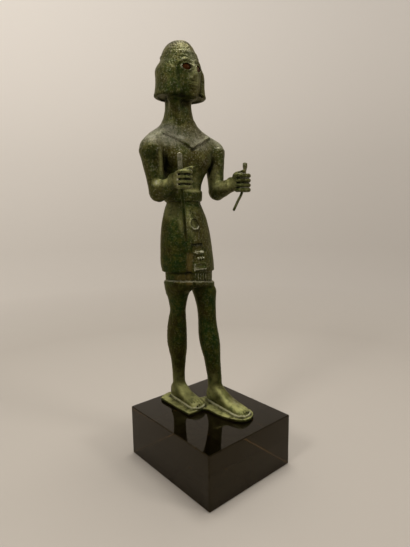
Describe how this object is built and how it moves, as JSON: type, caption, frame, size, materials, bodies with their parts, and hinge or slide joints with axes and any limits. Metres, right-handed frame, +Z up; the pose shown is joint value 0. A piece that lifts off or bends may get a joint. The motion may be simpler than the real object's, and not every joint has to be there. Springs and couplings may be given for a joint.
{
  "type": "bronze figure",
  "caption": "Cast bronze figure of a striding man in a short wig and wrapped kilt, thin rods in its fists, standing on a smoked acrylic block.",
  "frame": {"origin": "middle of the block's underside", "axes": "+Z up, the figure faces -Y, its left side is +X"},
  "size_m": [0.0814, 0.0934, 0.3149],
  "materials": {
    "bronze": "green and brown patina, worn satin on the high places",
    "inlay": "polished dark red stone or glass",
    "smoked_acrylic": "polished, dark brown, a little see-through"
  },
  "bodies": {
    "root": {"bronze_figure": "bronze", "right_hand_staff": "bronze", "left_hand_rod": "bronze", "eye_inlay_right": "inlay", "eye_inlay_left": "inlay", "stand_block": "smoked_acrylic"}
  },
  "joints": []
}
